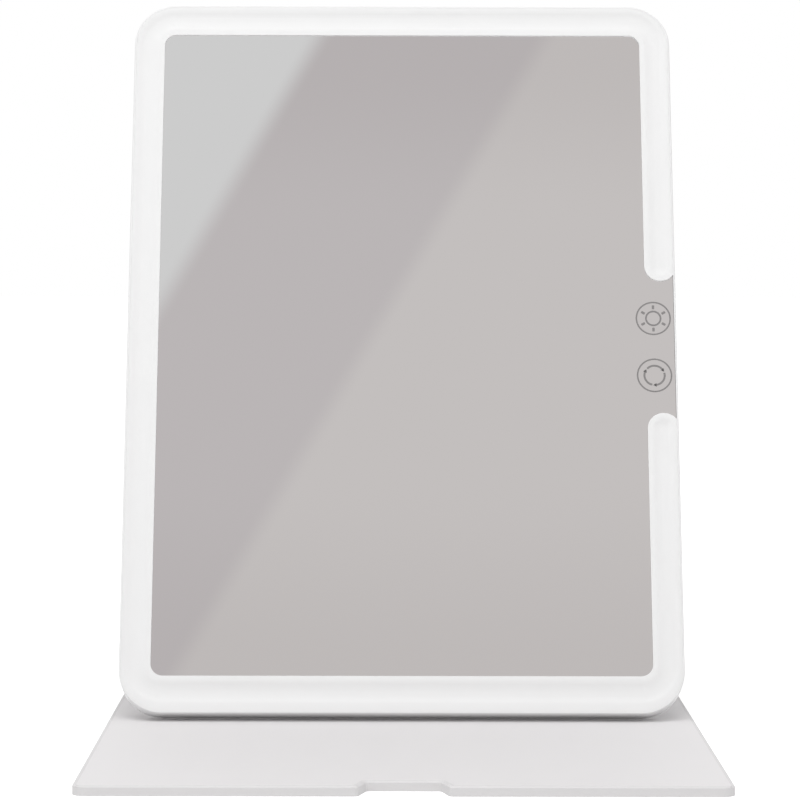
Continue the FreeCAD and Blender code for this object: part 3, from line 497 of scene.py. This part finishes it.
class Shading:
    """A shader tree, with short ways to add its nodes."""

    def __init__(self, tree):
        self.tree = tree

    def node(self, kind, settings, inputs, output=0):
        made = self.tree.nodes.new("ShaderNode" + kind)
        for setting, value in settings.items():
            setattr(made, setting, value)
        for socket, value in inputs.items():
            self.plug(made.inputs[socket], value)
        return Value(self, made.outputs[output])

    def plug(self, socket, value):
        if isinstance(value, Value):
            self.tree.links.new(value.socket, socket)
        else:
            socket.default_value = value

    def place(self, stretch=(1, 1, 1)):
        """Object coordinates, drawn out by the inverse of the stretch."""
        spot = self.node("TexCoord", {}, {}, "Object")
        return self.node("Mapping", {}, {"Vector": spot, "Scale": stretch})

    def noise(self, grain, detail=2.0, stretch=(1, 1, 1)):
        """Cloudy variation from 0 to 1 with patches about one grain across."""
        inputs = {"Vector": self.place(stretch), "Scale": 1 / grain, "Detail": detail}
        return self.node("TexNoise", {}, inputs)

    def cells(self, grain, feature):
        """Distance from the points or the edges of cells about one grain across."""
        inputs = {"Vector": self.place(), "Scale": 1 / grain}
        return self.node("TexVoronoi", {"feature": feature}, inputs)

    def ease(self, value, low, high):
        """0 below low, 1 above high, and a smooth step between them."""
        inputs = {"Value": value, "From Min": low, "From Max": high}
        return self.node("MapRange", {"interpolation_type": "SMOOTHSTEP"}, inputs)

    def mix(self, share, first, second):
        """One colour that turns into another as the share goes from 0 to 1."""
        return self.node("Mix", {"data_type": "RGBA"}, {0: share, 6: first, 7: second}, 2)

    def dim(self, share, colour, tint):
        """A colour seen through a share of a tint."""
        settings = {"data_type": "RGBA", "blend_type": "MULTIPLY"}
        return self.node("Mix", settings, {0: share, 6: colour, 7: tint}, 2)

    def seen(self):
        """1 for what camera, gloss and glass show, and 0 for light that falls on things."""
        shown = self.node("LightPath", {}, {}, "Is Camera Ray")
        for kind in ("Is Glossy Ray", "Is Transmission Ray"):
            ray = self.node("LightPath", {}, {}, kind)
            shown = self.node("Math", {"operation": "MAXIMUM"}, {0: shown, 1: ray})
        return shown


class Finish(Shading):
    """A material with one Principled shader, whose even values are set on its sockets."""

    def __init__(self, name, even):
        self.material = bpy.data.materials.new(name)
        self.material.use_nodes = True
        super().__init__(self.material.node_tree)
        self.shader = next(node for node in self.tree.nodes if node.type == "BSDF_PRINCIPLED")
        for socket, value in even.items():
            self.set(socket, value)

    def set(self, socket, value):
        self.plug(self.shader.inputs[socket], value)

    def bump(self, height, depth, strength=1.0):
        """Raises the surface by a depth where the height is 1."""
        inputs = {"Height": height, "Distance": depth, "Strength": strength}
        self.set("Normal", self.node("Bump", {}, inputs))


def grey(level, warmth=0.0, blush=0.0):
    """A grey, with a little more red for warmth and a little more blue for a blush."""
    return (level + warmth, level, level + blush, 1)


def paint(piece, material):
    piece.data.materials.clear()
    piece.data.materials.append(material)


def white_case():
    """Satin white moulded plastic with a fine eroded texture."""
    made = Finish("white_case", {"Specular IOR Level": 0.4})
    texture = made.noise(CASE_TEXTURE, 3)
    made.set("Base Color", made.mix(made.noise(CASE_CLOUD), grey(0.85), grey(0.87)))
    made.set("Roughness", 0.36 + texture * 0.1)
    made.bump(texture, CASE_TEXTURE_DEPTH)
    return made.material


def milky_ring():
    """Half-gloss milky light diffuser."""
    even = {
        "Specular IOR Level": 0.45,
        "Subsurface Weight": 0.4,
        "Subsurface Radius": (1, 1, 1),
        "Subsurface Scale": RING_SCATTER,
    }
    made = Finish("milky_ring", even)
    made.set("Base Color", made.mix(made.noise(RING_CLOUD), grey(0.856), grey(0.872)))
    made.set("Roughness", 0.26 + made.noise(RING_POLISH) * 0.08)
    made.bump(made.noise(RING_WAVE), RING_WAVE_DEPTH)
    return made.material


def mirror():
    """Silvered glass with a trace of unevenness in its polish."""
    made = Finish("mirror", {"Metallic": 1.0})
    made.set("Base Color", made.mix(made.noise(GLASS_CLOUD), grey(0.895), grey(0.905)))
    made.set("Roughness", made.noise(GLASS_POLISH, 4) * 0.02)
    return made.material


def icon_ink():
    """Dark grey ink, a little mottled."""
    made = Finish("icon_ink", {"Specular IOR Level": 0.3})
    made.set("Base Color", made.mix(made.noise(INK_MOTTLE, 3), grey(0.21, 0.01), grey(0.25, 0.01)))
    made.set("Roughness", 0.5 + made.noise(INK_POLISH) * 0.2)
    return made.material


def cover_skin():
    """Pale grey coated cloth with a pressed pebble grain."""
    made = Finish("cover_skin", {"Specular IOR Level": 0.35})
    pebbles = made.cells(SKIN_PEBBLE, "SMOOTH_F1")
    creases = made.noise(SKIN_CREASE, 3)
    shade = made.noise(SKIN_CLOUD) * 0.6 + pebbles * 0.4
    made.set("Base Color", made.mix(shade, grey(0.698, 0.012, 0.004), grey(0.733, 0.012, 0.004)))
    made.set("Roughness", 0.55 + pebbles * 0.25)
    made.bump(1 - pebbles + creases * 0.25, SKIN_DEPTH, 0.6)
    return made.material


def cover_lining():
    """Pale grey microfibre, brushed flat, so that it shines a little at a low angle."""
    made = Finish("cover_lining", {"Specular IOR Level": 0.5})
    nap = made.noise(LINING_NAP, 4)
    strokes = made.noise(LINING_STROKE, 3, LINING_STRETCH)
    shade = nap * 0.5 + strokes * 0.5
    made.set("Base Color", made.mix(shade, grey(0.755, 0.016, 0.006), grey(0.79, 0.016, 0.006)))
    made.set("Roughness", 0.55 + strokes * 0.1)
    made.bump(nap, LINING_NAP_DEPTH, 0.5)
    return made.material


def speckled(name, dark, light, grain, roughness):
    """A plain material whose colour and gloss vary with a fine grain."""
    made = Finish(name, {})
    specks = made.noise(grain, 4)
    made.set("Base Color", made.mix(specks, dark, light))
    made.set("Roughness", roughness + specks * 0.12)
    made.bump(specks, grain * SPECK_DEPTH_SHARE)
    return made.material


def circuit_board():
    """White solder mask with tracks that stand a little proud."""
    made = Finish("circuit_board", {})
    gaps = made.ease(made.cells(BOARD_PATCH, "DISTANCE_TO_EDGE"), *BOARD_TRACK_SHARES)
    made.set("Base Color", made.mix(gaps, grey(0.72), grey(0.86)))
    made.set("Roughness", 0.35 + made.noise(BOARD_POLISH) * 0.15)
    made.bump(1 - gaps, BOARD_TRACK_HEIGHT)
    return made.material


def led():
    """White light chips with a bloom of yellow phosphor."""
    made = Finish("led", {})
    bloom = made.ease(made.noise(LED_BLOOM), *LED_BLOOM_SHARES)
    made.set("Base Color", made.mix(bloom, (0.9, 0.9, 0.86, 1), (0.92, 0.72, 0.2, 1)))
    made.set("Roughness", 0.3 + bloom * 0.2)
    return made.material


def drawn_metal(name, dark, light, grain, roughness):
    """Bare metal with fine drawn lines."""
    made = Finish(name, {"Metallic": 1.0})
    lines = made.noise(grain, 3, DRAWN_STRETCH)
    made.set("Base Color", made.mix(lines, dark, light))
    made.set("Roughness", roughness + lines * 0.18)
    made.bump(lines, DRAWN_DEPTH)
    return made.material


def ribbon():
    """Amber film with copper tracks."""
    made = Finish("ribbon", {})
    tracks = made.ease(made.noise(RIBBON_TRACK, 0, RIBBON_STRETCH), *RIBBON_TRACK_SHARES)
    made.set("Base Color", made.mix(tracks, (0.6, 0.27, 0.05, 1), (0.78, 0.45, 0.14, 1)))
    made.set("Roughness", 0.3 + tracks * 0.1)
    made.bump(tracks, RIBBON_TRACK_HEIGHT)
    return made.material


def cell():
    """Foil pouch with shallow wrinkles."""
    made = Finish("cell", {"Metallic": 0.85})
    wrinkles = made.noise(CELL_WRINKLE, 5)
    made.set("Base Color", made.mix(wrinkles, grey(0.62), grey(0.74)))
    made.set("Roughness", 0.28 + wrinkles * 0.2)
    made.bump(wrinkles, CELL_WRINKLE_DEPTH)
    return made.material


# Plain finishes: the darker and the lighter colour, the size of the grain and the lowest roughness
DRAWN_METALS = {
    "steel": (grey(0.55), grey(0.7), 0.15 * MM, 0.25),
    "copper": ((0.62, 0.32, 0.18, 1), (0.8, 0.46, 0.28, 1), 0.1 * MM, 0.3),
    "magnet": (grey(0.66), grey(0.76), 0.2 * MM, 0.15),
}
SPECKLED = {
    "adhesive": (grey(0.74), grey(0.84), 0.8 * MM, 0.5),
    "white_frame": (grey(0.8), grey(0.84), 0.3 * MM, 0.5),
    "chip": (grey(0.015), grey(0.03), 0.12 * MM, 0.6),
    "wire": ((0.5, 0.02, 0.015, 1), (0.62, 0.03, 0.02, 1), 0.5 * MM, 0.4),
    "foam": (grey(0.03), grey(0.07), 0.25 * MM, 0.85),
    "stiffener": (grey(0.33, 0.04, -0.04), grey(0.45, 0.05, -0.05), 0.6 * MM, 0.8),
}
finishes = {
    "white_case": white_case(),
    "milky_ring": milky_ring(),
    "mirror": mirror(),
    "icon_ink": icon_ink(),
    "cover_skin": cover_skin(),
    "cover_lining": cover_lining(),
    "circuit_board": circuit_board(),
    "led": led(),
    "ribbon": ribbon(),
    "cell": cell(),
}
finishes.update({slot: drawn_metal(slot, *look) for slot, look in DRAWN_METALS.items()})
finishes.update({slot: speckled(slot, *look) for slot, look in SPECKLED.items()})


def dress_nodes():
    """Gives every CAD node the finish of its slot, and smooth shading on its round faces."""
    for part in frame["record"]["subparts"]:
        node = frame["nodes"][part["node"]]
        paint(node, finishes[part["material_slot"]])
        for face in node.data.polygons:
            face.use_smooth = True
        add_modifier(node, "WELD", merge_threshold=MERGE_GAP)
        if part["node"] in BEVELLED_NODES:
            add_modifier(node, "DECIMATE", decimate_type="DISSOLVE", angle_limit=FLAT_ANGLE)
            add_modifier(node, "EDGE_SPLIT", split_angle=BEVELLED_ANGLE)
        else:
            add_modifier(node, "EDGE_SPLIT", split_angle=ROUND_ANGLE)
        add_modifier(node, "WEIGHTED_NORMAL")


# Studio

def add_camera():
    """A camera at the photograph's place, from the front edge of the case's foot."""
    made = bpy.data.objects.new("camera", bpy.data.cameras.new("camera"))
    scene.collection.objects.link(made)
    made.data.lens = LENS
    made.data.sensor_width = SENSOR
    foot = rise * reach("rear_shell", rise)[0] + facing * reach("rear_shell", facing)[1]
    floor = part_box("cover_lining")[1].z
    made.location = (CAMERA_SIDE, foot.y - CAMERA_DISTANCE, floor + CAMERA_HEIGHT)
    made.rotation_euler = [math.radians(turn) for turn in (90 - CAMERA_PITCH, CAMERA_ROLL, -CAMERA_YAW)]
    scene.camera = made
    bpy.context.view_layer.update()


def shown_on(card, pixel):
    """Where on a card the glass shows a pixel of the photograph."""
    focal = LENS / SENSOR * PHOTO_SIDE
    half = PHOTO_SIDE / 2
    camera = scene.camera.matrix_world
    eye = camera.translation
    ray = camera.to_3x3() @ Vector(((pixel[0] - half) / focal, (half - pixel[1]) / focal, -1))
    hit = eye + ray * ((glass_front - eye.dot(facing)) / ray.dot(facing))
    bounced = ray.reflect(facing)
    start = card.matrix_world.inverted() @ hit
    heading = card.matrix_world.inverted().to_3x3() @ bounced
    return (start - heading * (start.z / heading.z)).xy


def card_side(finish, card, pixels):
    """How far a card's points lie to the right of the line between two pixels of the photograph."""
    ends = [shown_on(card, pixel) for pixel in pixels]
    along = (ends[1] - ends[0]).normalized()
    normal = Vector((-along.y, along.x))
    x = finish.node("SeparateXYZ", {}, {"Vector": finish.place()}, "X")
    y = finish.node("SeparateXYZ", {}, {"Vector": finish.place()}, "Y")
    return x * normal.x + y * normal.y - ends[0].dot(normal)


def add_card():
    """A large card that only gloss shows, so that the glass has its slanting reflections."""
    low, high = reach("mirror_glass", rise)
    middle = rise * ((low + high) / 2) + facing * glass_front
    bounced = (middle - scene.camera.location).normalized().reflect(facing)
    bpy.ops.mesh.primitive_plane_add(size=CARD_SIDE)
    card = bpy.context.object
    name_piece(card, "studio_card")
    turn = bounced.to_track_quat("Z", "Y").to_matrix().to_4x4()
    card.matrix_world = Matrix.Translation(middle + bounced * CARD_DISTANCE) @ turn
    bpy.context.view_layer.update()
    black = {"Base Color": (0, 0, 0, 1), "Specular IOR Level": 0.0, "Emission Strength": 1.0}
    made = Finish("studio_card", black)
    right_of_light, right_of_dark = [
        made.ease(card_side(made, card, pixels), -CARD_SOFTNESS, CARD_SOFTNESS)
        for pixels in (LIGHT_EDGE_PIXELS, DARK_EDGE_PIXELS)
    ]
    colour = made.mix(right_of_dark, CARD_DARK, CARD_WARM)
    height = made.node("SeparateXYZ", {}, {"Vector": made.place()}, "Y")
    for rows in DIM_ROW_PIXELS:
        start, stop = [shown_on(card, (PHOTO_SIDE / 2, row)).y for row in rows]
        colour = made.dim(made.ease(height, start, stop), colour, CARD_DIM)
    made.set("Emission Color", made.mix(right_of_light, CARD_LIGHT, colour))
    paint(card, made.material)
    for ray in ("camera", "diffuse", "transmission", "volume_scatter", "shadow"):
        setattr(card, "visible_" + ray, False)


def add_floor():
    """A plain white floor that keeps the object's shadow."""
    bpy.ops.mesh.primitive_plane_add(size=FLOOR_SIDE)
    floor = bpy.context.object
    name_piece(floor, "floor")
    matt = {
        "Base Color": grey(FLOOR_WHITE),
        "Roughness": 1.0,
        "Specular IOR Level": 0.0,
        "Emission Strength": 1.0,
    }
    made = Finish("floor", matt)
    made.set("Emission Color", made.seen() * FLOOR_LIFT)
    paint(floor, made.material)


def add_lights():
    """An even white room, and a softbox high in front."""
    world = bpy.data.worlds.new("studio")
    world.use_nodes = True
    scene.world = world
    room = Shading(world.node_tree)
    background = next(node for node in room.tree.nodes if node.type == "BACKGROUND")
    background.inputs["Color"].default_value = grey(1.0)
    room.plug(background.inputs["Strength"], WORLD_LIGHT + room.seen() * (1 - WORLD_LIGHT))
    lamp = bpy.data.lights.new("softbox", "AREA")
    lamp.size = KEY_SIDE
    lamp.energy = KEY_POWER
    softbox = bpy.data.objects.new("softbox", lamp)
    scene.collection.objects.link(softbox)
    softbox.location = KEY_HEADING * KEY_DISTANCE
    softbox.rotation_euler = KEY_HEADING.to_track_quat("Z", "Y").to_euler()
    softbox.visible_glossy = False


bpy.ops.object.select_all(action="DESELECT")
dress_nodes()
add_folio()
add_inlay("light_diffuser", "ring_lens", "mirror_unit", "milky_ring")
add_icons()
add_camera()
add_card()
add_floor()
add_lights()
